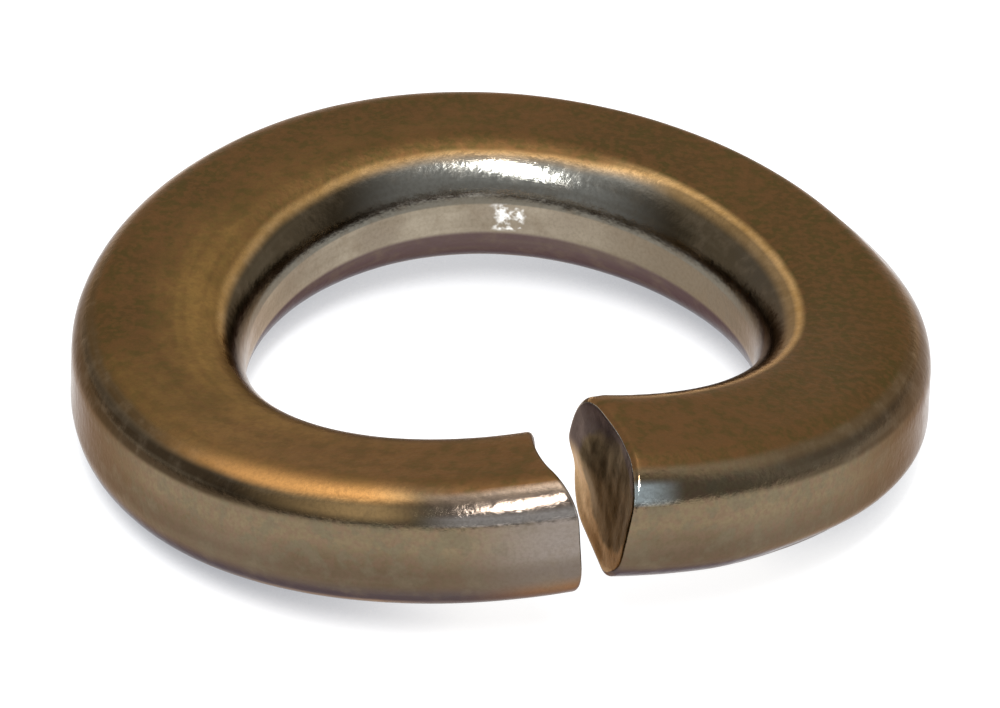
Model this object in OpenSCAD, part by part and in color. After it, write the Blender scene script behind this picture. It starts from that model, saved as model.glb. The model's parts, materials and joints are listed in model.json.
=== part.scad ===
// Spring lock washer for an M10 screw: one turn of rounded rectangular bar, coiled
// left-hand and sheared through once, with its two ends sprung up and apart.
// The bore's axis is Z. Z = 0 is the lowest point of the washer, and the gap is
// at the front, towards -Y. Angles run counter-clockwise from +X, seen from above.

/* [Bar] */
// Bore diameter, free on the screw's shank
bore_d = 10.2; // [9:0.1:13]
// Width of the bar, from the bore to the outside
bar_w = 3.5; // [2.8:0.05:4.5]
// Thickness of the bar along the bore's axis
bar_t = 2.8; // [2.2:0.05:3.6]
// Radius of the two edges round the outside
outer_edge_r = 0.95; // [0.3:0.05:1.2]
// Radius of the two edges round the bore
bore_edge_r = 1.2; // [0.3:0.05:1.4]

/* [Coil] */
// Height of the right end above the left one that the coil's pitch gives
end_offset = 0.48; // [0:0.02:1.2]
// Height of the saddle wave that the ring has from its coiling
saddle = 0.27; // [0:0.01:0.4]
// Extra lift of the right end
right_lift = 0.83; // [0:0.01:1.1]
// Extra lift of the left end
left_lift = 0.86; // [0:0.01:1.1]
// Stretch of bar behind each end that is bent up, in degrees round the ring
lift_span = 95; // [50:1:120]
// Fall of the faces from the bore to the outside at the right end, in degrees
right_dish = 6.4; // [-2:0.1:12]
// Rise of the faces from the bore to the outside at the left end, in degrees
left_dish = 5; // [-2:0.1:12]

/* [Cut ends] */
// Place of the right end's cut face, in degrees round the ring
right_end = -72.3; // [-80:0.1:-70]
// Place of the left end's cut face, in degrees round the ring
left_end = 280.6; // [272:0.1:281]
// Turn of the right cut away from square to the bar, in plan, in degrees
right_skew = -1; // [-10:0.5:10]
// Lean of the right cut away from upright, in degrees
right_slant = 10; // [-5:0.5:12]
// Turn of the left cut away from square to the bar, in plan, in degrees
left_skew = 5; // [-10:0.5:12]
// Lean of the left cut away from upright, in degrees, its foot nearer to the right end
left_slant = -4; // [-12:0.5:5]
// Depth of the hollow that the shear left in the upper half of the left cut
left_hollow = 0.37; // [0:0.01:0.5]
// Radius that blunts the sheared corners all round each cut face
cut_edge_r = 0.12; // [0.02:0.01:0.25]

/* [Smoothness] */
// Steps round the ring
ring_steps = 120; // [72:12:144]
// Steps in each rounded edge of the bar
edge_steps = 6; // [3:1:7]
// Steps in the blunted corner of each cut face
cut_edge_steps = 2; // [1:1:4]

/* [Hidden] */
$fn = 180;
bronze = [0.42, 0.31, 0.18];
bore_r = bore_d / 2;
outer_r = bore_r + bar_w;
mid_r = bore_r + bar_w / 2;
// The swept bar stands this much past both walls, and round cutters trim it off.
trim = 0.01;
// A straight land at least this high is left between two rounded edges.
least_land = 0.1;
outer_round = min(outer_edge_r, (bar_t - least_land) / 2);
bore_round = min(bore_edge_r, (bar_t - least_land) / 2);
mid_angle = (right_end + left_end) / 2;
half_span = (left_end - right_end) / 2;
lift_start = 1 - lift_span / half_span;

// Place along the bar at an angle: -1 at the right end, 1 at the left one.
function along(angle) = (angle - mid_angle) / half_span;

// Lift of one end, from nothing at the start of its stretch.
function lift(u) = (u < 0 ? right_lift : left_lift)
    * pow(max(0, (abs(u) - lift_start) / (1 - lift_start)), 2);

// Height of the bar's middle line.
function bar_height(angle) = let (u = along(angle))
    lift(u) + saddle * cos(360 * u) - end_offset / 2 * u;

// Slope of the faces across the bar.
function face_slope(angle) = let (share = (along(angle) + 1) / 2)
    (1 - share) * tan(-right_dish) + share * tan(left_dish);

// A point of the swept bar, in space. A point of the section is its radius and height.
function placed(point, angle) = [
    point[0] * cos(angle),
    point[0] * sin(angle),
    bar_height(angle) + face_slope(angle) * (point[0] - mid_r) + point[1]
];

// Angle that a length along the bar takes up at a point of the section.
function turn(point, length) = asin(length / point[0]);

// Angle from an end's middle line at which a point of the section meets a cut.
function cut_angle(point, skew, slant) =
    turn(point, (point[0] - mid_r) * tan(skew) + point[1] * tan(slant));

// Depth of the left cut's hollow: none at the foot and the walls, most at the top middle.
function hollow(point) =
    let (across = (point[0] - mid_r) / (bar_w / 2),
         rise = 0.5 + point[1] / bar_t)
    left_hollow * max(0, 1 - across * across) * max(0, rise);

// Angle at which a point meets the right or the left cut.
function right_angle(point) =
    right_end + cut_angle(point, right_skew, right_slant);
function left_angle(point) =
    left_end + cut_angle(point, left_skew, left_slant) - turn(point, hollow(point));

// One rounded edge of the section, a quarter turn of points from its start.
function rounded_edge(r, z, edge_r, start) = [
    for (step = [0 : edge_steps])
        let (a = start + 90 * step / edge_steps)
        [r + edge_r * cos(a), z + edge_r * sin(a)]
];

// The bar's section, or a smaller one that lies inside it by the inset.
function section(inset) =
    let (outer_mid = outer_r + trim - outer_round,
         bore_mid = bore_r - trim + bore_round,
         outer_up = bar_t / 2 - outer_round,
         bore_up = bar_t / 2 - bore_round,
         outer_arc = outer_round - inset,
         bore_arc = bore_round - inset)
    concat(
        rounded_edge(outer_mid, -outer_up, outer_arc, -90),
        rounded_edge(outer_mid, outer_up, outer_arc, 0),
        rounded_edge(bore_mid, bore_up, bore_arc, 90),
        rounded_edge(bore_mid, -bore_up, bore_arc, 180)
    );
sides = 4 * (edge_steps + 1);

// How far a step of the blunted corner stays back from the cut face, and inside the bar.
function corner_back(step) = cut_edge_r * (1 - sin(90 * step / cut_edge_steps));
function corner_inset(step) = cut_edge_r * (1 - cos(90 * step / cut_edge_steps));

// Rings of points: the right cut's corner from its face out, the bar, the left cut's corner.
right_corner = [
    for (step = [cut_edge_steps : -1 : 1], p = section(corner_inset(step)))
        placed(p, right_angle(p) + turn(p, corner_back(step)))
];
bar = [
    for (ring = [0 : ring_steps], p = section(0))
        let (share = ring / ring_steps,
             back = turn(p, cut_edge_r),
             first = right_angle(p) + back,
             last = left_angle(p) - back)
        placed(p, first * (1 - share) + last * share)
];
left_corner = [
    for (step = [1 : cut_edge_steps], p = section(corner_inset(step)))
        placed(p, left_angle(p) - turn(p, corner_back(step)))
];

// The middle of each cut face, which its triangles meet at.
mid_point = [mid_r, 0];
cut_middles = [
    placed(mid_point, right_angle(mid_point)),
    placed(mid_point, left_angle(mid_point))
];
sweep_points = concat(right_corner, bar, left_corner, cut_middles);
ring_count = ring_steps + 1 + 2 * cut_edge_steps;
last_ring = (ring_count - 1) * sides;
right_middle = ring_count * sides;
left_middle = right_middle + 1;
lowest = min([for (p = bar) p[2]]);
bar_points = [for (p = sweep_points) p - [0, 0, lowest]];
bar_faces = concat(
    [for (side = [0 : sides - 1]) [right_middle, (side + 1) % sides, side]],
    [
        for (ring = [0 : ring_count - 2], side = [0 : sides - 1], half = [0, 1])
            let (a = ring * sides + side,
                 b = ring * sides + (side + 1) % sides)
            half == 0 ? [a, b, b + sides] : [a, b + sides, a + sides]
    ],
    [
        for (side = [0 : sides - 1])
            [left_middle, last_ring + side, last_ring + (side + 1) % sides]
    ]
);
cutter_h = 4 * bar_t + right_lift + left_lift;

// The bar as coiled and cut, with its walls still a hair proud.
module coiled_bar() {
    polyhedron(points = bar_points, faces = bar_faces, convexity = 6);
}

// Upright round cutter that runs past the bar at both ends.
module round_cutter(r) {
    translate([0, 0, -bar_t]) cylinder(r = r, h = cutter_h);
}

module washer() {
    color(bronze) intersection() {
        difference() {
            coiled_bar();
            round_cutter(bore_r);
        }
        round_cutter(outer_r);
    }
}

washer();
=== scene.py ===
"""The looks of a bronze spring lock washer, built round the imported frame.

Lengths are in mm where the bar is shaped, and in metres in the materials and the lamps.
"""

import json
import math

import bpy
import numpy as np
from mathutils import Matrix, Vector


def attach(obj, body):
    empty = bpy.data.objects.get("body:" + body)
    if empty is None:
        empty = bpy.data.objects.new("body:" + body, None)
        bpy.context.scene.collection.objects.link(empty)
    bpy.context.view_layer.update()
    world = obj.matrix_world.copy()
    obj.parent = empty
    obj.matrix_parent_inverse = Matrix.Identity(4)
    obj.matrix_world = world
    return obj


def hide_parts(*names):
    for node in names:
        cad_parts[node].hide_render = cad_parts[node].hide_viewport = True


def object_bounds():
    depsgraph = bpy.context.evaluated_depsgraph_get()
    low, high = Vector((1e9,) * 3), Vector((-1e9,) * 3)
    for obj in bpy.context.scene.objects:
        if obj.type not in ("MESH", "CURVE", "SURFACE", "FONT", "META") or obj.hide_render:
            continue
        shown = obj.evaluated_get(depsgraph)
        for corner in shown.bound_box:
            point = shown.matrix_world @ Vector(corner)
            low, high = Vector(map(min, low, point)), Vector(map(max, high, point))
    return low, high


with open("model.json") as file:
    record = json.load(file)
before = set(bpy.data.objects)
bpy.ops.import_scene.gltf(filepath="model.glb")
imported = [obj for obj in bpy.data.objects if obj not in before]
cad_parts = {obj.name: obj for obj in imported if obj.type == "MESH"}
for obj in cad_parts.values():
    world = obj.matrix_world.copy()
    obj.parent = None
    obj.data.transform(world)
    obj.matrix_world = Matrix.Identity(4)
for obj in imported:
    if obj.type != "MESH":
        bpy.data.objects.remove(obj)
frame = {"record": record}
cad_low, cad_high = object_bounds()

MM = 0.001

# Sizes of the bar. Those of the bore and the outside come from the frame.
BORE_R = frame["record"]["mounts"][0]["dims"]["r_mm"]
OUTER_R = (cad_high[0] - cad_low[0]) / 2 / MM
BAR_W = OUTER_R - BORE_R
MID_R = BORE_R + BAR_W / 2
BAR_T = 2.8
OUTER_EDGE_R = 0.95
BORE_EDGE_R = 1.2

# The coil's heights and slopes
END_OFFSET = 0.48
SADDLE = 0.27
RIGHT_LIFT = 0.83
LEFT_LIFT = 0.86
LIFT_SPAN = 95
RIGHT_DISH = 6.4
LEFT_DISH = 5

# The two cuts, in degrees and mm
RIGHT_END = -72.3
LEFT_END = 280.6
RIGHT_SKEW = -1
RIGHT_SLANT = 10
LEFT_SKEW = 5
LEFT_SLANT = -4
LEFT_HOLLOW = 0.37
CORNER_R = 0.12

# Fineness of the mesh
RINGS = 640
EDGE_STEPS = 16
WALL_STEPS = 4
FACE_STEPS = 10
CORNER_STEPS = 5
CAP_STEPS = 24
# The smallest ring of a cut face starts this share of a step out from its middle
CAP_START = 0.02

# Depth of the unevenness of the tumbled surface and of the torn cuts, always into the
# bar. Each has coarse and fine waves, and a seed for their random directions.
COARSE_SHARE = 0.7
FINE_SHARE = 0.3
WAVE_DEPTH = 0.008
WAVE_SIZES = (3.0, 0.9)
WAVE_SEED = 5
SHEAR_DEPTH = 0.05
SHEAR_SIZES = (1.1, 0.55)
RIGHT_SHEAR_SEED = 11
LEFT_SHEAR_SEED = 21
# The torn waves die out over this share of the way from a cut's middle to its rim
SHEAR_FADE = 1 / 6

# How far the outer edges are worn in on the washer's right side, and between which
# angles the wear grows from nothing to its most
WEAR_DEPTH = 0.17
UPPER_WEAR_FRONT = (5, 36)
UPPER_WEAR_BACK = (125, 66)
LOWER_WEAR_BACK = (5, -20)
# Near the right end the lower edge has only a share of its wear
LOWER_WEAR_FRONT = (-60, -40)
LOWER_WEAR_LEAST = 0.4

# How far the shear pushed out the upper bore side of the right end, and where across the
# bar and up it the bulge grows, as shares from its middle to its walls or faces
RIGHT_BULGE = 0.24
BULGE_ACROSS = (0.3, -0.8)
BULGE_RISE = (-0.55, 0.05)

# The mesh's lowest point stands this much below the floor's level before its waves
SETTLE = 0.003

MID_ANGLE = (RIGHT_END + LEFT_END) / 2
HALF_SPAN = (LEFT_END - RIGHT_END) / 2
LIFT_START = 1 - LIFT_SPAN / HALF_SPAN


def bar_height(angle):
    """Height of the bar's middle line at an angle in degrees."""
    u = (angle - MID_ANGLE) / HALF_SPAN
    rise = np.maximum(0, (np.abs(u) - LIFT_START) / (1 - LIFT_START)) ** 2
    lift = np.where(u < 0, RIGHT_LIFT, LEFT_LIFT) * rise
    return lift + SADDLE * np.cos(2 * np.pi * u) - END_OFFSET / 2 * u


def face_slope(angle):
    """Slope of the faces across the bar at an angle in degrees."""
    share = ((angle - MID_ANGLE) / HALF_SPAN + 1) / 2
    right = math.tan(math.radians(-RIGHT_DISH))
    left = math.tan(math.radians(LEFT_DISH))
    return (1 - share) * right + share * left


def placed(radius, height, angle):
    """Points of the section, turned to an angle and raised to the coil.

    The coil rises no further in the right end's blunted corner and bulge.
    """
    a = np.radians(angle)
    coil_angle = np.maximum(angle, straight_right(radius, height) + turn(CORNER_R, radius))
    z = bar_height(coil_angle) + face_slope(coil_angle) * (radius - MID_R) + height
    return np.stack([radius * np.cos(a), radius * np.sin(a), z], axis=-1)


def turn(length, radius):
    """Angle in degrees that a length along the bar takes up at a radius."""
    return np.degrees(np.arcsin(length / radius))


def cut_angle(radius, height, skew, slant):
    """Angle from an end's middle line at which a point of the section meets a cut."""
    across = (radius - MID_R) * math.tan(math.radians(skew))
    return turn(across + height * math.tan(math.radians(slant)), radius)


def hollow(radius, height):
    """Depth of the left cut's hollow."""
    across = (radius - MID_R) / (BAR_W / 2)
    return LEFT_HOLLOW * np.maximum(0, 1 - across**2) * np.maximum(0, 0.5 + height / BAR_T)


def smooth(value, low, high):
    """Smooth step from 0 at low to 1 at high."""
    share = np.clip((value - low) / (high - low), 0, 1)
    return share * share * (3 - 2 * share)


def straight_right(radius, height):
    """Angle of the right cut before its bulge."""
    return RIGHT_END + cut_angle(radius, height, RIGHT_SKEW, RIGHT_SLANT)


def right_angle(radius, height):
    """Angle of the right cut, bulged at its upper bore side, at points of the section."""
    toward_bore = smooth((radius - MID_R) / (BAR_W / 2), *BULGE_ACROSS)
    upward = smooth(height / (BAR_T / 2), *BULGE_RISE)
    bulge = RIGHT_BULGE * toward_bore * upward
    return straight_right(radius, height) - turn(bulge, radius)


def wear(shape, angle):
    """How far the outer edges are worn in at points of the section, most halfway round an edge."""
    upper = smooth(angle, *UPPER_WEAR_FRONT) * smooth(angle, *UPPER_WEAR_BACK)
    front = LOWER_WEAR_LEAST + (1 - LOWER_WEAR_LEAST) * smooth(angle, *LOWER_WEAR_FRONT)
    lower = front * smooth(angle, *LOWER_WEAR_BACK)
    halfway = 2 * np.maximum(0, shape[:, 2]) * np.abs(shape[:, 3])
    return WEAR_DEPTH * np.where(shape[:, 3] > 0, upper, lower) * halfway**2


def left_angle(radius, height):
    """Angle of the left cut at points of the section."""
    straight = LEFT_END + cut_angle(radius, height, LEFT_SKEW, LEFT_SLANT)
    return straight - turn(hollow(radius, height), radius)


def arc(mid_r, mid_h, edge_r, start):
    """One rounded edge of the section: radius, height and both parts of its outward normal."""
    a = np.radians(start + np.linspace(0, 90, EDGE_STEPS + 1))
    out = np.cos(a)
    up = np.sin(a)
    return np.stack([mid_r + edge_r * out, mid_h + edge_r * up, out, up], axis=-1)


def section(inset=0.0):
    """Points all round the bar's section, counter-clockwise from the foot of the outside."""
    outer_up = BAR_T / 2 - OUTER_EDGE_R
    bore_up = BAR_T / 2 - BORE_EDGE_R
    outer_mid = OUTER_R - OUTER_EDGE_R
    bore_mid = BORE_R + BORE_EDGE_R
    corners = [
        arc(outer_mid, -outer_up, OUTER_EDGE_R - inset, -90),
        arc(outer_mid, outer_up, OUTER_EDGE_R - inset, 0),
        arc(bore_mid, bore_up, BORE_EDGE_R - inset, 90),
        arc(bore_mid, -bore_up, BORE_EDGE_R - inset, 180),
    ]
    steps = [WALL_STEPS, FACE_STEPS, WALL_STEPS, FACE_STEPS]
    points = []
    for i, corner in enumerate(corners):
        points.append(corner)
        share = (np.arange(1, steps[i]) / steps[i])[:, None]
        points.append(corner[-1] * (1 - share) + corners[(i + 1) % 4][0] * share)
    return np.concatenate(points)


# Number of sines in a set of waves, the range of their pitch, and how many standard
# deviations of their sum fill the range from 0 to 1
SINES = 24
PITCH_RANGE = (0.6, 1.6)
FULL_RANGE = 5


def waves(points, size, seed):
    """Smooth noise from 0 to 1: a sum of sines in set random directions, size in mm."""
    rng = np.random.default_rng(seed)
    ways = rng.normal(size=(SINES, 3))
    pitch = (2 * np.pi / size) * rng.uniform(*PITCH_RANGE, (SINES, 1))
    ways *= pitch / np.linalg.norm(ways, axis=1, keepdims=True)
    phases = rng.uniform(0, 2 * np.pi, SINES)
    total = np.sin(points @ ways.T + phases).sum(axis=-1) / math.sqrt(SINES / 2)
    return np.clip(0.5 + total / FULL_RANGE, 0, 1)


def double_waves(points, sizes, seed):
    """Coarse and fine waves together."""
    coarse = waves(points, sizes[0], seed)
    fine = waves(points, sizes[1], seed + 1)
    return COARSE_SHARE * coarse + FINE_SHARE * fine


class Sweep:
    """The rings of points that make up the bar, with named values of each point."""

    def __init__(self):
        self.rings = []
        self.values = {"tilt": [], "cut": [], "across": [], "rise": []}

    def add_ring(self, shape, angle, is_cut, depth=0.0, worn_share=1.0):
        """Adds one ring of points, some way into the bar along the ring."""
        worn = worn_share * wear(shape, angle)
        radius = shape[:, 0] - worn * shape[:, 2]
        height = shape[:, 1] - worn * shape[:, 3]
        self.rings.append(placed(radius, height, angle + turn(depth, radius)))
        self.values["tilt"].append(shape[:, 3] * (0.0 if is_cut else 1.0))
        self.values["cut"].append(np.full(len(shape), float(is_cut)))
        self.values["across"].append((shape[:, 0] - MID_R) / (BAR_W / 2))
        self.values["rise"].append(shape[:, 1] / (BAR_T / 2))

    def add_cap(self, angle_at, inward, seed):
        """Adds a cut face's rings, from its middle out to the blunted corner and the bar's side."""
        rim = section(CORNER_R)
        for step in range(CAP_STEPS):
            share = (step + CAP_START) / CAP_STEPS
            shape = rim.copy()
            shape[:, 0] = MID_R + (rim[:, 0] - MID_R) * share
            shape[:, 1] = rim[:, 1] * share
            flat = np.stack([shape[:, 0], shape[:, 1], np.zeros(len(shape))], axis=-1)
            fade = min(1.0, (1 - share) / SHEAR_FADE)
            depth = inward * SHEAR_DEPTH * double_waves(flat, SHEAR_SIZES, seed) * fade
            self.add_ring(shape, angle_at(shape[:, 0], shape[:, 1]), True, depth, share)
        for step in range(CORNER_STEPS):
            a = math.pi / 2 * step / CORNER_STEPS
            shape = section(CORNER_R * (1 - math.sin(a)))
            back = inward * CORNER_R * (1 - math.cos(a))
            self.add_ring(shape, angle_at(shape[:, 0], shape[:, 1]), step == 0, back)

    def add_bar(self):
        """Adds the rings between the two blunted corners."""
        outline = section()
        corner = turn(CORNER_R, outline[:, 0])
        first = right_angle(outline[:, 0], outline[:, 1]) + corner
        last = left_angle(outline[:, 0], outline[:, 1]) - corner
        for ring in range(RINGS + 1):
            share = ring / RINGS
            self.add_ring(outline, first * (1 - share) + last * share, False)

    def turn_round(self, start):
        """Turns round the order of all rings from one on."""
        for rows in (self.rings, *self.values.values()):
            rows[start:] = rows[start:][::-1]

    def faces(self):
        """Four-sided faces between the rings, and one face at each end."""
        sides = len(self.rings[0])
        last_ring = (len(self.rings) - 1) * sides
        ring_start = np.arange(0, last_ring, sides)[:, None]
        side = np.arange(sides)[None, :]
        a = ring_start + side
        b = ring_start + (side + 1) % sides
        quads = np.stack([a, a + sides, b + sides, b], axis=-1).reshape(-1, 4)
        right_middle = list(range(sides))
        left_middle = list(range(last_ring, last_ring + sides))[::-1]
        return quads.tolist() + [right_middle, left_middle]


def washer_mesh():
    """Sweeps the bar and closes its two cut faces. Returns points, faces and named point values."""
    sweep = Sweep()
    sweep.add_cap(right_angle, 1, RIGHT_SHEAR_SEED)
    sweep.add_bar()
    right_rings = len(sweep.rings)
    sweep.add_cap(left_angle, -1, LEFT_SHEAR_SEED)
    sweep.turn_round(right_rings)

    count = len(sweep.rings)
    sides = len(sweep.rings[0])
    values = {name: np.concatenate(rows) for name, rows in sweep.values.items()}
    values["along"] = np.repeat(np.arange(count) / (count - 1), sides)
    values["around"] = np.tile(np.arange(sides) / sides, count)
    return np.concatenate(sweep.rings), sweep.faces(), values


def build_washer():
    """Makes the washer's object, uneven as a tumbled part is.

    Returns it with the height of the coil's middle plane above the floor.
    """
    points, faces, values = washer_mesh()
    mid_plane = -points[:, 2].min() - SETTLE
    points[:, 2] += mid_plane
    mesh = bpy.data.meshes.new("washer_bar")
    mesh.from_pydata((points * MM).tolist(), [], faces)
    mesh.update()
    normals = np.empty(len(points) * 3)
    mesh.vertices.foreach_get("normal", normals)
    depth = WAVE_DEPTH * double_waves(points, WAVE_SIZES, WAVE_SEED)
    points = points - normals.reshape(-1, 3) * depth[:, None]
    mesh.vertices.foreach_set("co", (points * MM).ravel())
    around = values.pop("around")
    for name, numbers in values.items():
        layer = mesh.attributes.new(name, "FLOAT", "POINT")
        layer.data.foreach_set("value", numbers)
    uv = mesh.uv_layers.new(name="bar")
    corner_points = np.empty(len(mesh.loops), dtype=int)
    mesh.loops.foreach_get("vertex_index", corner_points)
    pairs = np.stack([values["along"][corner_points], around[corner_points]], axis=-1)
    uv.data.foreach_set("uv", pairs.ravel())
    mesh.shade_smooth()
    mesh.update()
    body = bpy.data.objects.new("lock_washer", mesh)
    bpy.context.collection.objects.link(body)
    return body, mid_plane


class Nodes:
    """Short calls to build the nodes of one material or world."""

    def __init__(self, owner):
        owner.use_nodes = True
        self.tree = owner.node_tree
        self.tree.nodes.clear()

    def add(self, kind, **values):
        """Adds a node and sets the named properties on it."""
        node = self.tree.nodes.new(kind)
        for key, value in values.items():
            setattr(node, key, value)
        return node

    def link(self, source, target):
        """Links two sockets."""
        self.tree.links.new(source, target)

    def feed(self, node, slot, value):
        """Sets an input to a plain value or links a socket to it."""
        if isinstance(value, bpy.types.NodeSocket):
            self.link(value, node.inputs[slot])
        else:
            node.inputs[slot].default_value = value

    def attribute(self, name):
        """A point value of the mesh."""
        return self.add("ShaderNodeAttribute", attribute_name=name).outputs["Fac"]

    def axes(self, source):
        """The three parts of a vector."""
        node = self.add("ShaderNodeSeparateXYZ")
        self.link(source, node.inputs[0])
        return node.outputs["X"], node.outputs["Y"], node.outputs["Z"]

    def math(self, operation, a, b=0.0):
        """One step of arithmetic."""
        node = self.add("ShaderNodeMath", operation=operation)
        self.feed(node, 0, a)
        self.feed(node, 1, b)
        return node.outputs[0]

    def size(self, value):
        """A value without its sign."""
        return self.math("ABSOLUTE", value)

    def plus(self, a, b):
        """Sum of two values."""
        return self.math("ADD", a, b)

    def minus(self, a, b):
        """Difference of two values."""
        return self.math("SUBTRACT", a, b)

    def most(self, a, b):
        """The larger of two values."""
        return self.math("MAXIMUM", a, b)

    def times(self, *values):
        """Product of two values or more."""
        product = values[0]
        for value in values[1:]:
            product = self.math("MULTIPLY", product, value)
        return product

    def noise(self, place, scale, detail, rough):
        """Noise at so many cells a metre, or a unit of its coordinates."""
        node = self.add("ShaderNodeTexNoise")
        self.link(place, node.inputs["Vector"])
        node.inputs["Scale"].default_value = scale
        node.inputs["Detail"].default_value = detail
        node.inputs["Roughness"].default_value = rough
        return node.outputs["Fac"]

    def stretched(self, source, scale):
        """Coordinates scaled by a different number along each axis."""
        node = self.add("ShaderNodeMapping")
        self.link(source, node.inputs["Vector"])
        node.inputs["Scale"].default_value = scale
        return node.outputs["Vector"]

    def ramp(self, value, low, high, to_low=0.0, to_high=1.0):
        """Smooth step that maps a range of values to another, held at both ends."""
        node = self.add("ShaderNodeMapRange", interpolation_type="SMOOTHSTEP")
        self.feed(node, 0, value)
        for slot, number in enumerate((low, high, to_low, to_high), start=1):
            node.inputs[slot].default_value = number
        return node.outputs[0]

    def between(self, share, a, b):
        """Mixes two values."""
        node = self.add("ShaderNodeMix", data_type="FLOAT")
        # Input 0 is the share, and inputs 2 and 3 are the values
        for slot, value in ((0, share), (2, a), (3, b)):
            self.feed(node, slot, value)
        return node.outputs[0]

    def blend(self, share, a, b):
        """Mixes two colours."""
        node = self.add("ShaderNodeMix", data_type="RGBA")
        self.feed(node, 0, share)
        # Inputs 6 and 7 are the colours, and output 2 is the mixed one
        for slot, colour in ((6, a), (7, b)):
            if isinstance(colour, tuple):
                node.inputs[slot].default_value = (*colour, 1.0)
            else:
                self.link(colour, node.inputs[slot])
        return node.outputs[2]


# Colours in linear light. Where a name holds two, noise or a zone leads from one to the other.
# The flat faces' patina
BROWN = ((0.105, 0.060, 0.022), (0.145, 0.074, 0.028))
GOLDEN_BROWN = ((0.222, 0.124, 0.037), (0.288, 0.162, 0.048))
RIGHT_BROWN = (0.085, 0.055, 0.018)
FRONT_BROWN = (0.190, 0.092, 0.036)
GREEN_SPOT = (0.078, 0.062, 0.018)
RED_SPOT = (0.165, 0.078, 0.030)
# Metal that is rubbed bare, partly also a painted highlight on the upper edges
GOLD = ((0.48, 0.27, 0.09), (0.62, 0.37, 0.15))
# Painted highlight: red gold on the upper edge at the front left
PAINTED_RED_GOLD_HIGHLIGHT = (0.84, 0.41, 0.13)
# Painted highlights: sheens on the upper edge, a glint next to the right cut, a sparkle on the bore's
# wall
PAINTED_GOLD_SHEEN = (0.95, 0.60, 0.26)
PAINTED_GREY_SHEEN = ((0.66, 0.60, 0.56), (0.26, 0.20, 0.16))
PAINTED_BLUISH_GLINT = (0.74, 0.84, 0.86)
PAINTED_SPARKLE = (0.95, 0.94, 0.90)
# The outside
WALL = ((0.118, 0.084, 0.048), (0.165, 0.124, 0.078))
# Painted light: lighter towards the wall's top
WALL_TOP_PAINTED_LIGHT = (0.215, 0.165, 0.098)
WALL_RED_SPOT = (0.165, 0.098, 0.070)
WALL_GREEN_SPOT = (0.105, 0.108, 0.068)
# Painted shade on the far left and right flanks
WALL_FLANK_PAINTED_SHADE = (0.095, 0.058, 0.032)
WALL_LEFT_END = (0.225, 0.190, 0.165)
# Painted dark reflections on the upper edge
PAINTED_DARK_REFLECTION = (0.045, 0.032, 0.020)
PAINTED_LEFT_DARK_REFLECTION = (0.040, 0.026, 0.014)
# Painted shade low on the wall and on its lower rounded edge
WALL_LOW_PAINTED_SHADE = (0.085, 0.060, 0.040)
FOOT_PAINTED_SHADE = ((0.078, 0.062, 0.064), (0.230, 0.125, 0.065))
# The bore
BORE = ((0.22, 0.18, 0.135), (0.31, 0.265, 0.20))
# Painted shade towards the bore's right
BORE_RIGHT_SHADE = (0.17, 0.135, 0.095)
BORE_FAR_RIGHT_SHADE = (0.150, 0.125, 0.095)
# Painted light and shade on the bore's upper edge, and a painted dark reflection below it
BORE_EDGE_LIGHT_AND_SHADE = ((0.070, 0.052, 0.031), (0.40, 0.39, 0.35))
BORE_EDGE_DARK_REFLECTION = (0.155, 0.145, 0.120)
# Painted shade on the bore's lower edge and at its far right
BORE_FOOT_SHADE = (0.095, 0.064, 0.062)
BORE_SHADE = (0.070, 0.058, 0.045)
# Both walls
WALL_MOTTLE = (0.18, 0.135, 0.09)
WALL_SWEEP = (0.15, 0.12, 0.08)
# Fine grain all over
GRAIN = (0.07, 0.045, 0.022)
# The sheared ends
TORN = ((0.185, 0.138, 0.075), (0.320, 0.235, 0.135))
GREY_RIM = (0.185, 0.145, 0.135)
# Painted reflection of the floor on a cut's lower rim
PAINTED_TAN_REFLECTION = (0.62, 0.42, 0.23)
TOP_RIM = (0.070, 0.050, 0.052)
# Tint of the metal where it is seen at a slant: in general, and dimmer on the flanks and low down as
# painted shade
GLANCE_WITH_FLANK_SHADE = ((0.75, 0.65, 0.58), (0.64, 0.56, 0.51))
LOW_GLANCE_SHADE = (0.50, 0.47, 0.48)


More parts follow.
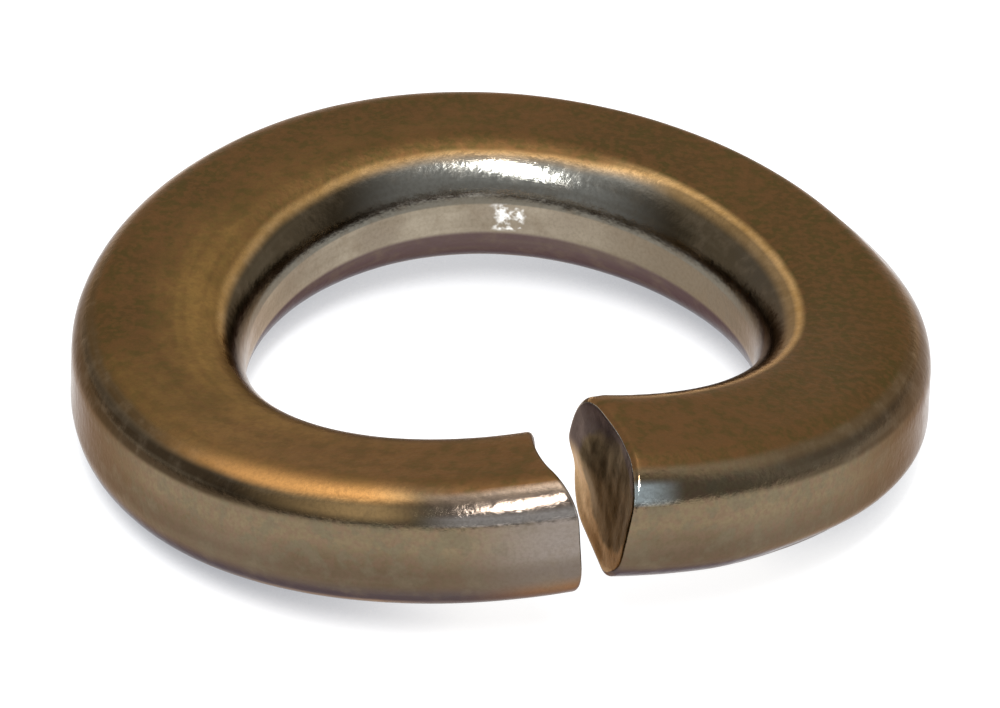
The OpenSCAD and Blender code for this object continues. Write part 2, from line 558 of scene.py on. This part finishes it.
class Surface:
    """What the bronze's parts read at a point: its place, the patches of noise and the zones.

    x and y are in metres. along runs from 0 at the right cut's middle to 1 at the left
    cut's, across from -1 at the bore to 1 outside, and rise from -1 at the foot to 1 at the
    top. upward is the upward part of the section's normal, and flat the same without sign,
    both 0 on the cuts. The first two numbers of a ramp say where a zone begins and is full.
    """

    def __init__(self, nodes):
        place = nodes.add("ShaderNodeTexCoord").outputs["Object"]
        bar = nodes.add("ShaderNodeUVMap", uv_map="bar").outputs["UV"]
        self.x, self.y, _ = nodes.axes(place)
        self.along = nodes.attribute("along")
        self.across = nodes.attribute("across")
        self.rise = nodes.attribute("rise")
        self.upward = nodes.attribute("tilt")
        self.flat = nodes.size(self.upward)
        self.cut = nodes.attribute("cut")

        # Noise from wide patches to fine grain, then two kinds of it drawn out along the bar
        self.cloud = nodes.noise(place, 420, 3.0, 0.6)
        self.mottle = nodes.noise(place, 2400, 3.0, 0.6)
        self.pits = nodes.noise(place, 6500, 2.0, 0.5)
        self.grain = nodes.noise(place, 14000, 2.0, 0.6)
        self.streak = nodes.noise(nodes.stretched(bar, (9, 260, 1)), 6.0, 3.0, 0.6)
        self.sweep = nodes.noise(nodes.stretched(bar, (3, 14, 1)), 3.0, 1.0, 0.5)

        self.near_left_end = nodes.ramp(self.along, 0.915, 0.955)
        self.on_bore = nodes.ramp(self.across, 0.05, -0.05)
        self.left_side = nodes.ramp(self.x, 0.003, -0.006)
        self.right_side = nodes.ramp(self.x, 0.001, 0.008)
        self.flank = nodes.ramp(nodes.size(self.x), 0.0064, 0.0084)
        self.right_edge = nodes.times(self.on_bore, nodes.ramp(self.x, 0.0015, 0.004))
        front_left = nodes.ramp(self.along, 0.76, 0.84)
        front_left = nodes.times(front_left, nodes.ramp(self.along, 0.89, 0.93, 1.0, 0.0))
        self.outer_front = nodes.times(front_left, nodes.ramp(self.across, 0.2, 0.4))
        self.outer_low = nodes.ramp(self.upward, -0.15, -0.55)
        self.bore_low = nodes.ramp(self.upward, -0.09, -0.19)

        # The flat faces' patina, worn off towards the rounded edges, and where gold is rubbed bare and
        # painted brighter as a highlight
        self.wander = nodes.times(nodes.minus(self.cloud, 0.5), 0.10)
        self.level = self.patina_level(nodes)
        self.steady = nodes.plus(self.flat, nodes.times(self.wander, 0.2))
        self.face = self.patina_share(nodes)
        self.gold_wear_and_highlight = self.gold_wear_and_highlight_share(nodes)

    def patina_level(self, nodes):
        """How flat the bar is at a point, with the patina's edge moved about by noise."""
        right_bore = nodes.times(self.on_bore, nodes.ramp(self.x, 0.001, 0.004))
        shift = nodes.most(nodes.times(self.near_left_end, 0.07), nodes.times(right_bore, 0.13))
        shift = nodes.times(shift, nodes.ramp(self.flat, 0.90, 0.99, 1.0, 0.0))
        return nodes.minus(nodes.plus(self.flat, self.wander), shift)

    def patina_share(self, nodes):
        """How much of the patina a point has. Its limit is softer at the front left."""
        sharp = nodes.ramp(self.level, 0.80, 0.90)
        soft = nodes.ramp(self.level, 0.78, 1.02)
        share = nodes.between(self.outer_front, sharp, soft)
        return nodes.between(self.right_edge, share, nodes.ramp(self.steady, 0.945, 0.980))

    def gold_wear_and_highlight_share(self, nodes):
        """How much a point is gold, as bare metal and a painted highlight: most round the bore and at
        the front left.
        """
        # The strength along the outside is the painted highlight: full at the front left, faint
        # elsewhere
        worn = nodes.ramp(self.along, 0.78, 0.86, 0.12, 1.0)
        worn = nodes.times(worn, nodes.ramp(self.along, 0.885, 0.912, 1.0, 0.1))
        worn = nodes.most(worn, nodes.times(self.on_bore, 0.9))
        low = nodes.plus(self.level, nodes.times(self.on_bore, -0.09))
        share = nodes.times(nodes.ramp(low, 0.62, 0.78), worn)
        right = nodes.times(self.right_edge, nodes.ramp(self.steady, 0.78, 0.90, 0.0, 0.36))
        return nodes.most(share, right)


def patina_colour(nodes, at):
    """Colour of the flat faces: brown, golden on the left, with green and red spots."""
    radius = nodes.math("SQRT", nodes.plus(nodes.times(at.x, at.x), nodes.times(at.y, at.y)))
    near_bore = nodes.ramp(radius, 0.0074, 0.0062)
    rubbed = nodes.most(near_bore, nodes.ramp(at.y, -0.0005, -0.0040, 0.0, 0.75))
    bare = nodes.times(at.left_side, rubbed, nodes.ramp(at.sweep, 0.3, 0.6, 0.7, 1.0))
    bare = nodes.times(bare, nodes.ramp(at.y, 0.005, 0.000, 0.3, 1.0))

    in_clouds = nodes.ramp(at.cloud, 0.35, 0.65)
    brown = nodes.blend(in_clouds, *BROWN)
    golden = nodes.blend(in_clouds, *GOLDEN_BROWN)
    colour = nodes.blend(bare, brown, golden)
    colour = nodes.blend(nodes.times(at.right_side, 0.5), colour, RIGHT_BROWN)
    colour = nodes.blend(nodes.ramp(at.y, -0.003, -0.007, 0.0, 0.6), colour, FRONT_BROWN)
    calm = nodes.ramp(bare, 0.0, 1.0, 0.55, 0.22)
    green = nodes.times(nodes.ramp(at.mottle, 0.42, 0.62), calm)
    red = nodes.times(nodes.ramp(at.pits, 0.42, 0.62), calm)
    colour = nodes.blend(green, colour, GREEN_SPOT)
    return nodes.blend(red, colour, RED_SPOT)


def gold_colour(nodes, at):
    """Colour of the metal where it is rubbed bare, with a painted red-gold highlight on the upper edge
    at the front left.
    """
    colour = nodes.blend(nodes.ramp(at.mottle, 0.3, 0.7), *GOLD)
    painted_red_highlight = nodes.times(at.outer_front, nodes.ramp(at.upward, 0.1, 0.4))
    return nodes.blend(painted_red_highlight, colour, PAINTED_RED_GOLD_HIGHLIGHT)


def outer_wall_colour(nodes, at):
    """Colour of the outside and its two rounded edges, with painted light, shade, highlights and
    reflections.
    """
    colour = nodes.blend(nodes.ramp(at.cloud, 0.35, 0.65), *WALL)
    # Painted light: the wall lighter towards its top
    colour = nodes.blend(nodes.ramp(at.rise, -0.05, 0.20, 0.0, 0.6), colour, WALL_TOP_PAINTED_LIGHT)
    colour = nodes.blend(nodes.ramp(at.pits, 0.42, 0.60, 0.0, 0.4), colour, WALL_RED_SPOT)
    colour = nodes.blend(nodes.ramp(at.mottle, 0.48, 0.62, 0.0, 0.4), colour, WALL_GREEN_SPOT)
    # Painted shade on the flanks
    colour = nodes.blend(at.flank, colour, WALL_FLANK_PAINTED_SHADE)
    colour = nodes.blend(at.near_left_end, colour, WALL_LEFT_END)

    # Painted dark reflection on the upper edge, darkest on the left, but for the stretches next to the
    # two ends
    dark = nodes.times(nodes.ramp(at.upward, 0.22, 0.34), nodes.ramp(at.along, 0.86, 0.90, 0.8, 0.0))
    colour = nodes.blend(nodes.times(dark, nodes.ramp(at.along, 0.06, 0.12)), colour, PAINTED_DARK_REFLECTION)
    left_dark_reflection = nodes.times(nodes.ramp(at.along, 0.64, 0.72), nodes.ramp(at.along, 0.82, 0.88, 0.9, 0.0))
    left_dark_reflection = nodes.times(left_dark_reflection, nodes.ramp(at.upward, 0.15, 0.28))
    colour = nodes.blend(left_dark_reflection, colour, PAINTED_LEFT_DARK_REFLECTION)

    # Painted highlights on the upper edge: a gold sheen at the front left, a grey sheen at the left end
    gold_sheen = nodes.times(nodes.ramp(at.upward, 0.30, 0.50), nodes.ramp(at.along, 0.83, 0.90))
    gold_sheen = nodes.times(gold_sheen, nodes.ramp(at.along, 0.885, 0.912, 1.0, 0.0))
    colour = nodes.blend(gold_sheen, colour, PAINTED_GOLD_SHEEN)
    grey = nodes.blend(nodes.ramp(at.upward, 0.42, 0.56), *PAINTED_GREY_SHEEN)
    grey_sheen = nodes.times(nodes.ramp(at.upward, 0.26, 0.36), nodes.ramp(at.along, 0.902, 0.924))
    colour = nodes.blend(grey_sheen, colour, grey)

    # A painted glint on the upper edge, next to the right cut
    glint = nodes.times(nodes.ramp(at.upward, 0.25, 0.40), nodes.ramp(at.upward, 0.75, 0.60))
    glint = nodes.times(glint, nodes.ramp(at.along, 0.059, 0.0416))
    colour = nodes.blend(glint, colour, PAINTED_BLUISH_GLINT)

    # Painted shade: the wall darker low down
    colour = nodes.blend(nodes.ramp(at.rise, 0.0, -0.30, 0.0, 0.55), colour, WALL_LOW_PAINTED_SHADE)
    # Painted shade on the lower rounded edge: the dark reflection of the shaded floor, warmer at the
    # left end
    foot = nodes.blend(at.near_left_end, *FOOT_PAINTED_SHADE)
    return nodes.blend(at.outer_low, colour, foot)


def bore_wall_colour(nodes, at):
    """Colour of the bore's wall and its two rounded edges, with painted shade to the right and low down,
    and painted light and shade on the upper edge.
    """
    colour = nodes.blend(nodes.ramp(at.cloud, 0.35, 0.65), *BORE)
    # Painted shade: darker to the right
    colour = nodes.blend(nodes.ramp(at.x, 0.0005, 0.0035), colour, BORE_RIGHT_SHADE)
    colour = nodes.blend(nodes.ramp(at.x, 0.0038, 0.0048), colour, BORE_FAR_RIGHT_SHADE)
    # Painted on the upper part: a dark reflection band, then light in the middle and shade to the sides
    middle = nodes.ramp(nodes.size(at.x), 0.0035, 0.0015)
    rounded = nodes.blend(middle, *BORE_EDGE_LIGHT_AND_SHADE)
    colour = nodes.blend(nodes.ramp(at.upward, 0.07, 0.11), colour, BORE_EDGE_DARK_REFLECTION)
    colour = nodes.blend(nodes.ramp(at.upward, 0.20, 0.30), colour, rounded)
    # Painted shade: the dark reflection of the shaded floor on the lower edge, and shade at the far
    # right
    colour = nodes.blend(at.bore_low, colour, BORE_FOOT_SHADE)
    return nodes.blend(nodes.ramp(at.x, 0.0044, 0.0051, 0.0, 0.5), colour, BORE_SHADE)


def wall_colour(nodes, at):
    """Colour of both walls, with brown mottling and long sweeps."""
    colour = nodes.blend(at.on_bore, outer_wall_colour(nodes, at), bore_wall_colour(nodes, at))
    colour = nodes.blend(nodes.ramp(at.mottle, 0.45, 0.8, 0.0, 0.4), colour, WALL_MOTTLE)
    return nodes.blend(nodes.ramp(at.sweep, 0.45, 0.7, 0.0, 0.25), colour, WALL_SWEEP)


def sheared_colour(nodes, at):
    """Colour of the cut faces: torn in the middle, tan at the bore and foot as a painted reflection of
    the floor, greyer on top.
    """
    colour = nodes.blend(nodes.ramp(at.mottle, 0.3, 0.7), *TORN)
    # The torn middle is an ellipse, off the cut's centre and with a ragged limit
    wide = nodes.math("POWER", nodes.times(nodes.minus(at.across, 0.20), 1.18), 2.0)
    tall = nodes.math("POWER", nodes.times(nodes.minus(at.rise, 0.08), 1.26), 2.0)
    torn = nodes.plus(nodes.plus(wide, tall), nodes.times(nodes.minus(at.mottle, 0.5), 0.5))
    clean = nodes.ramp(torn, 0.72, 0.95)
    upward = nodes.plus(at.rise, nodes.times(at.across, -0.35))
    grey_rim = nodes.times(clean, nodes.ramp(upward, 0.0, 0.4))
    colour = nodes.blend(grey_rim, colour, GREY_RIM)
    # Painted reflection: the floor's light on the rim's lower rounding, painted tan
    painted_tan_rim = nodes.times(clean, nodes.ramp(upward, 0.35, -0.05), 0.95)
    colour = nodes.blend(painted_tan_rim, colour, PAINTED_TAN_REFLECTION)
    top_rim = nodes.times(nodes.ramp(at.rise, 0.45, 0.80), nodes.ramp(at.across, 0.5, -0.3))
    return nodes.blend(top_rim, colour, TOP_RIM)


def painted_sparkle_spot(nodes, at):
    """How much of the one painted sparkle a point has: a near-white highlight on the bore's wall
    opposite the gap.
    """
    off_centre = nodes.size(nodes.minus(at.x, 0.00005))
    spot = nodes.ramp(nodes.plus(off_centre, nodes.times(at.pits, 0.0004)), 0.00056, 0.00035)
    spot = nodes.times(spot, at.on_bore, nodes.ramp(at.y, 0.0, 0.001))
    spot = nodes.times(spot, nodes.ramp(nodes.size(at.upward), 0.12, 0.04))
    return nodes.times(spot, nodes.ramp(at.mottle, 0.44, 0.56))


def bronze_colour(nodes, at):
    """Colour of the whole washer, from its parts."""
    colour = nodes.blend(at.gold_wear_and_highlight, wall_colour(nodes, at), gold_colour(nodes, at))
    colour = nodes.blend(at.face, colour, patina_colour(nodes, at))
    colour = nodes.blend(at.cut, colour, sheared_colour(nodes, at))
    colour = nodes.blend(painted_sparkle_spot(nodes, at), colour, PAINTED_SPARKLE)
    return nodes.blend(nodes.ramp(at.grain, 0.35, 0.75, 0.0, 0.18), colour, GRAIN)


def bronze_roughness(nodes, at):
    """Roughness: least on the bare metal, more in the patina and most on the cuts."""
    rough = nodes.ramp(at.mottle, 0.3, 0.75, 0.13, 0.22)
    rough = nodes.plus(rough, nodes.times(at.face, 0.17))
    return nodes.plus(rough, nodes.times(at.cut, 0.25))


def bronze_normal(nodes, at):
    """Normal, moved by fine pits and grain, and by lines along the bar that the cuts don't have."""
    relief = nodes.plus(nodes.times(at.mottle, 0.6), nodes.times(at.grain, 0.15))
    relief = nodes.plus(relief, at.pits)
    relief = nodes.plus(relief, nodes.times(at.streak, 0.12, nodes.minus(1.0, at.cut)))
    bump = nodes.add("ShaderNodeBump")
    bump.inputs["Strength"].default_value = 0.35
    bump.inputs["Distance"].default_value = 0.00002
    nodes.link(relief, bump.inputs["Height"])
    return bump.outputs["Normal"]


def bronze_material():
    """Tumbled bronze: brown patina on the faces, gold edges, greyer walls, dark sheared ends."""
    material = bpy.data.materials.new("aged_bronze")
    nodes = Nodes(material)
    at = Surface(nodes)
    # Painted shade: a dimmer tint of the metal on the flanks and low down
    glance = nodes.blend(at.flank, *GLANCE_WITH_FLANK_SHADE)
    low_part = nodes.most(at.outer_low, nodes.times(at.on_bore, at.bore_low))
    shader = nodes.add("ShaderNodeBsdfPrincipled")
    shader.inputs["Metallic"].default_value = 1.0
    nodes.link(nodes.blend(low_part, glance, LOW_GLANCE_SHADE), shader.inputs["Specular Tint"])
    nodes.link(bronze_colour(nodes, at), shader.inputs["Base Color"])
    nodes.link(bronze_roughness(nodes, at), shader.inputs["Roughness"])
    nodes.link(bronze_normal(nodes, at), shader.inputs["Normal"])
    output = nodes.add("ShaderNodeOutputMaterial")
    nodes.link(shader.outputs["BSDF"], output.inputs["Surface"])
    return material


# The camera stands where the photo's did: its height and roll in degrees, and its distance
# and the point that it is aimed at in mm
CAMERA_UP = 31.79
CAMERA_ROLL = 2.204
CAMERA_FAR = 32.138 * OUTER_R
AIM = (-0.0030 * OUTER_R, 0.0360 * OUTER_R)
# Width of the picture and length of the outside radius in it, in pixels
FRAME_W = 1000
PIXELS_PER_RADIUS = 429.5
# Width of the sensor in mm
SENSOR_W = 36.0
# Nearest and furthest point that the camera sees, in metres
CLIP_NEAR = 0.01
CLIP_FAR = 10


def add_camera(mid_plane):
    """Adds the camera, aimed at a point of the bar's middle plane."""
    up = math.radians(CAMERA_UP)
    roll = math.radians(CAMERA_ROLL)
    back = Vector((0, -math.cos(up), math.sin(up)))
    right = Vector((1, 0, 0))
    above = back.cross(right)
    turned_right = math.cos(roll) * right + math.sin(roll) * above
    turned_above = math.cos(roll) * above - math.sin(roll) * right
    place = (Vector((*AIM, mid_plane)) + back * CAMERA_FAR) * MM
    data = bpy.data.cameras.new("camera")
    data.sensor_width = SENSOR_W
    data.lens = PIXELS_PER_RADIUS * (CAMERA_FAR / OUTER_R) * SENSOR_W / FRAME_W
    data.clip_start = CLIP_NEAR
    data.clip_end = CLIP_FAR
    camera = bpy.data.objects.new("camera", data)
    axes = Matrix((turned_right, turned_above, back)).transposed().to_4x4()
    camera.matrix_world = Matrix.Translation(place) @ axes
    bpy.context.collection.objects.link(camera)
    bpy.context.scene.camera = camera


# The white paper: half its side in metres, what it reflects, and the light that it adds
# where the camera sees it. Mirror-like and clear surfaces see it at full strength.
FLOOR_HALF = 0.6
PAPER_COLOUR = (0.36, 0.36, 0.37, 1)
CAMERA_LIFT = 0.89
# Within this distance of the washer the added light falls to a share and turns bluish
SHADE_REACH = 0.0014
SHADE_SHARE = 0.42
SHADE_COLOUR = (0.78, 0.85, 1.0)


def paper_material():
    """White paper that keeps the washer's soft shadow."""
    material = bpy.data.materials.new("white_paper")
    nodes = Nodes(material)
    paper = nodes.add("ShaderNodeBsdfDiffuse")
    paper.inputs["Color"].default_value = PAPER_COLOUR
    glow = nodes.add("ShaderNodeEmission")
    nearby = nodes.add("ShaderNodeAmbientOcclusion", samples=8)
    nearby.inputs["Distance"].default_value = SHADE_REACH
    open_share = nodes.ramp(nearby.outputs["AO"], 0.05, 0.55, SHADE_SHARE, 1.0)
    nodes.link(nodes.blend(open_share, SHADE_COLOUR, (1.0, 1.0, 1.0)), glow.inputs["Color"])
    rays = nodes.add("ShaderNodeLightPath")
    seen = nodes.times(rays.outputs["Is Camera Ray"], CAMERA_LIFT)
    seen = nodes.most(seen, rays.outputs["Is Glossy Ray"])
    seen = nodes.most(seen, rays.outputs["Is Transmission Ray"])
    nodes.link(nodes.times(seen, open_share), glow.inputs["Strength"])
    both = nodes.add("ShaderNodeAddShader")
    nodes.link(paper.outputs[0], both.inputs[0])
    nodes.link(glow.outputs[0], both.inputs[1])
    output = nodes.add("ShaderNodeOutputMaterial")
    nodes.link(both.outputs[0], output.inputs["Surface"])
    return material


def add_floor():
    """A plain square floor at the washer's foot."""
    corners = [(-1, -1), (1, -1), (1, 1), (-1, 1)]
    points = [(x * FLOOR_HALF, y * FLOOR_HALF, 0) for x, y in corners]
    mesh = bpy.data.meshes.new("floor")
    mesh.from_pydata(points, [], [(0, 1, 2, 3)])
    mesh.materials.append(paper_material())
    floor = bpy.data.objects.new("floor", mesh)
    bpy.context.collection.objects.link(floor)


# Distance of the lamps from the middle of the washer's foot
LAMP_FAR = 0.35


def add_lamp(name, azimuth, height, size, radiance, colour, slant=0):
    """A soft lamp aimed at the washer, an ellipse turned by its slant.

    Angles are in degrees, and size holds the ellipse's two diameters in metres.
    """
    azimuth = math.radians(azimuth)
    height = math.radians(height)
    level = math.cos(height)
    out = Vector((math.cos(azimuth) * level, math.sin(azimuth) * level, math.sin(height)))
    data = bpy.data.lights.new(name, "AREA")
    data.shape = "ELLIPSE"
    data.size, data.size_y = size
    area = math.pi * size[0] * size[1] / 4
    data.energy = radiance * math.pi * area
    data.color = colour
    lamp = bpy.data.objects.new(name, data)
    aim = out.to_track_quat("Z", "Y").to_matrix().to_4x4()
    turned = Matrix.Rotation(math.radians(slant), 4, "Z")
    lamp.matrix_world = Matrix.Translation(out * LAMP_FAR) @ aim @ turned
    bpy.context.collection.objects.link(lamp)


def add_world():
    """Soft studio light: brightest overhead, dimmest in front."""
    world = bpy.data.worlds.new("studio")
    bpy.context.scene.world = world
    nodes = Nodes(world)
    way = nodes.add("ShaderNodeTexCoord").outputs["Generated"]
    _, to_back, up = nodes.axes(way)
    high = nodes.ramp(up, 0.80, 0.90, 0.85, 1.3)
    front = nodes.ramp(to_back, -0.35, 0.05, 0.4, 1.0)
    back = nodes.add("ShaderNodeBackground")
    back.inputs["Color"].default_value = (0.97, 0.99, 1.0, 1)
    nodes.link(nodes.times(high, front), back.inputs["Strength"])
    output = nodes.add("ShaderNodeOutputWorld")
    nodes.link(back.outputs[0], output.inputs["Surface"])


washer, mid_plane = build_washer()
washer.data.materials.append(bronze_material())
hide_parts("washer")
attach(washer, "root")

add_camera(mid_plane)
add_floor()
add_world()
add_lamp(
    "overhead",
    azimuth=80,
    height=82,
    size=(0.16, 0.16),
    radiance=1.5,
    colour=(1.0, 0.99, 0.97),
)
add_lamp(
    "front_window",
    azimuth=-91,
    height=53,
    size=(0.175, 0.052),
    radiance=40.0,
    colour=(0.97, 0.99, 1.0),
    slant=60,
)
bpy.context.scene.view_settings.view_transform = "Standard"
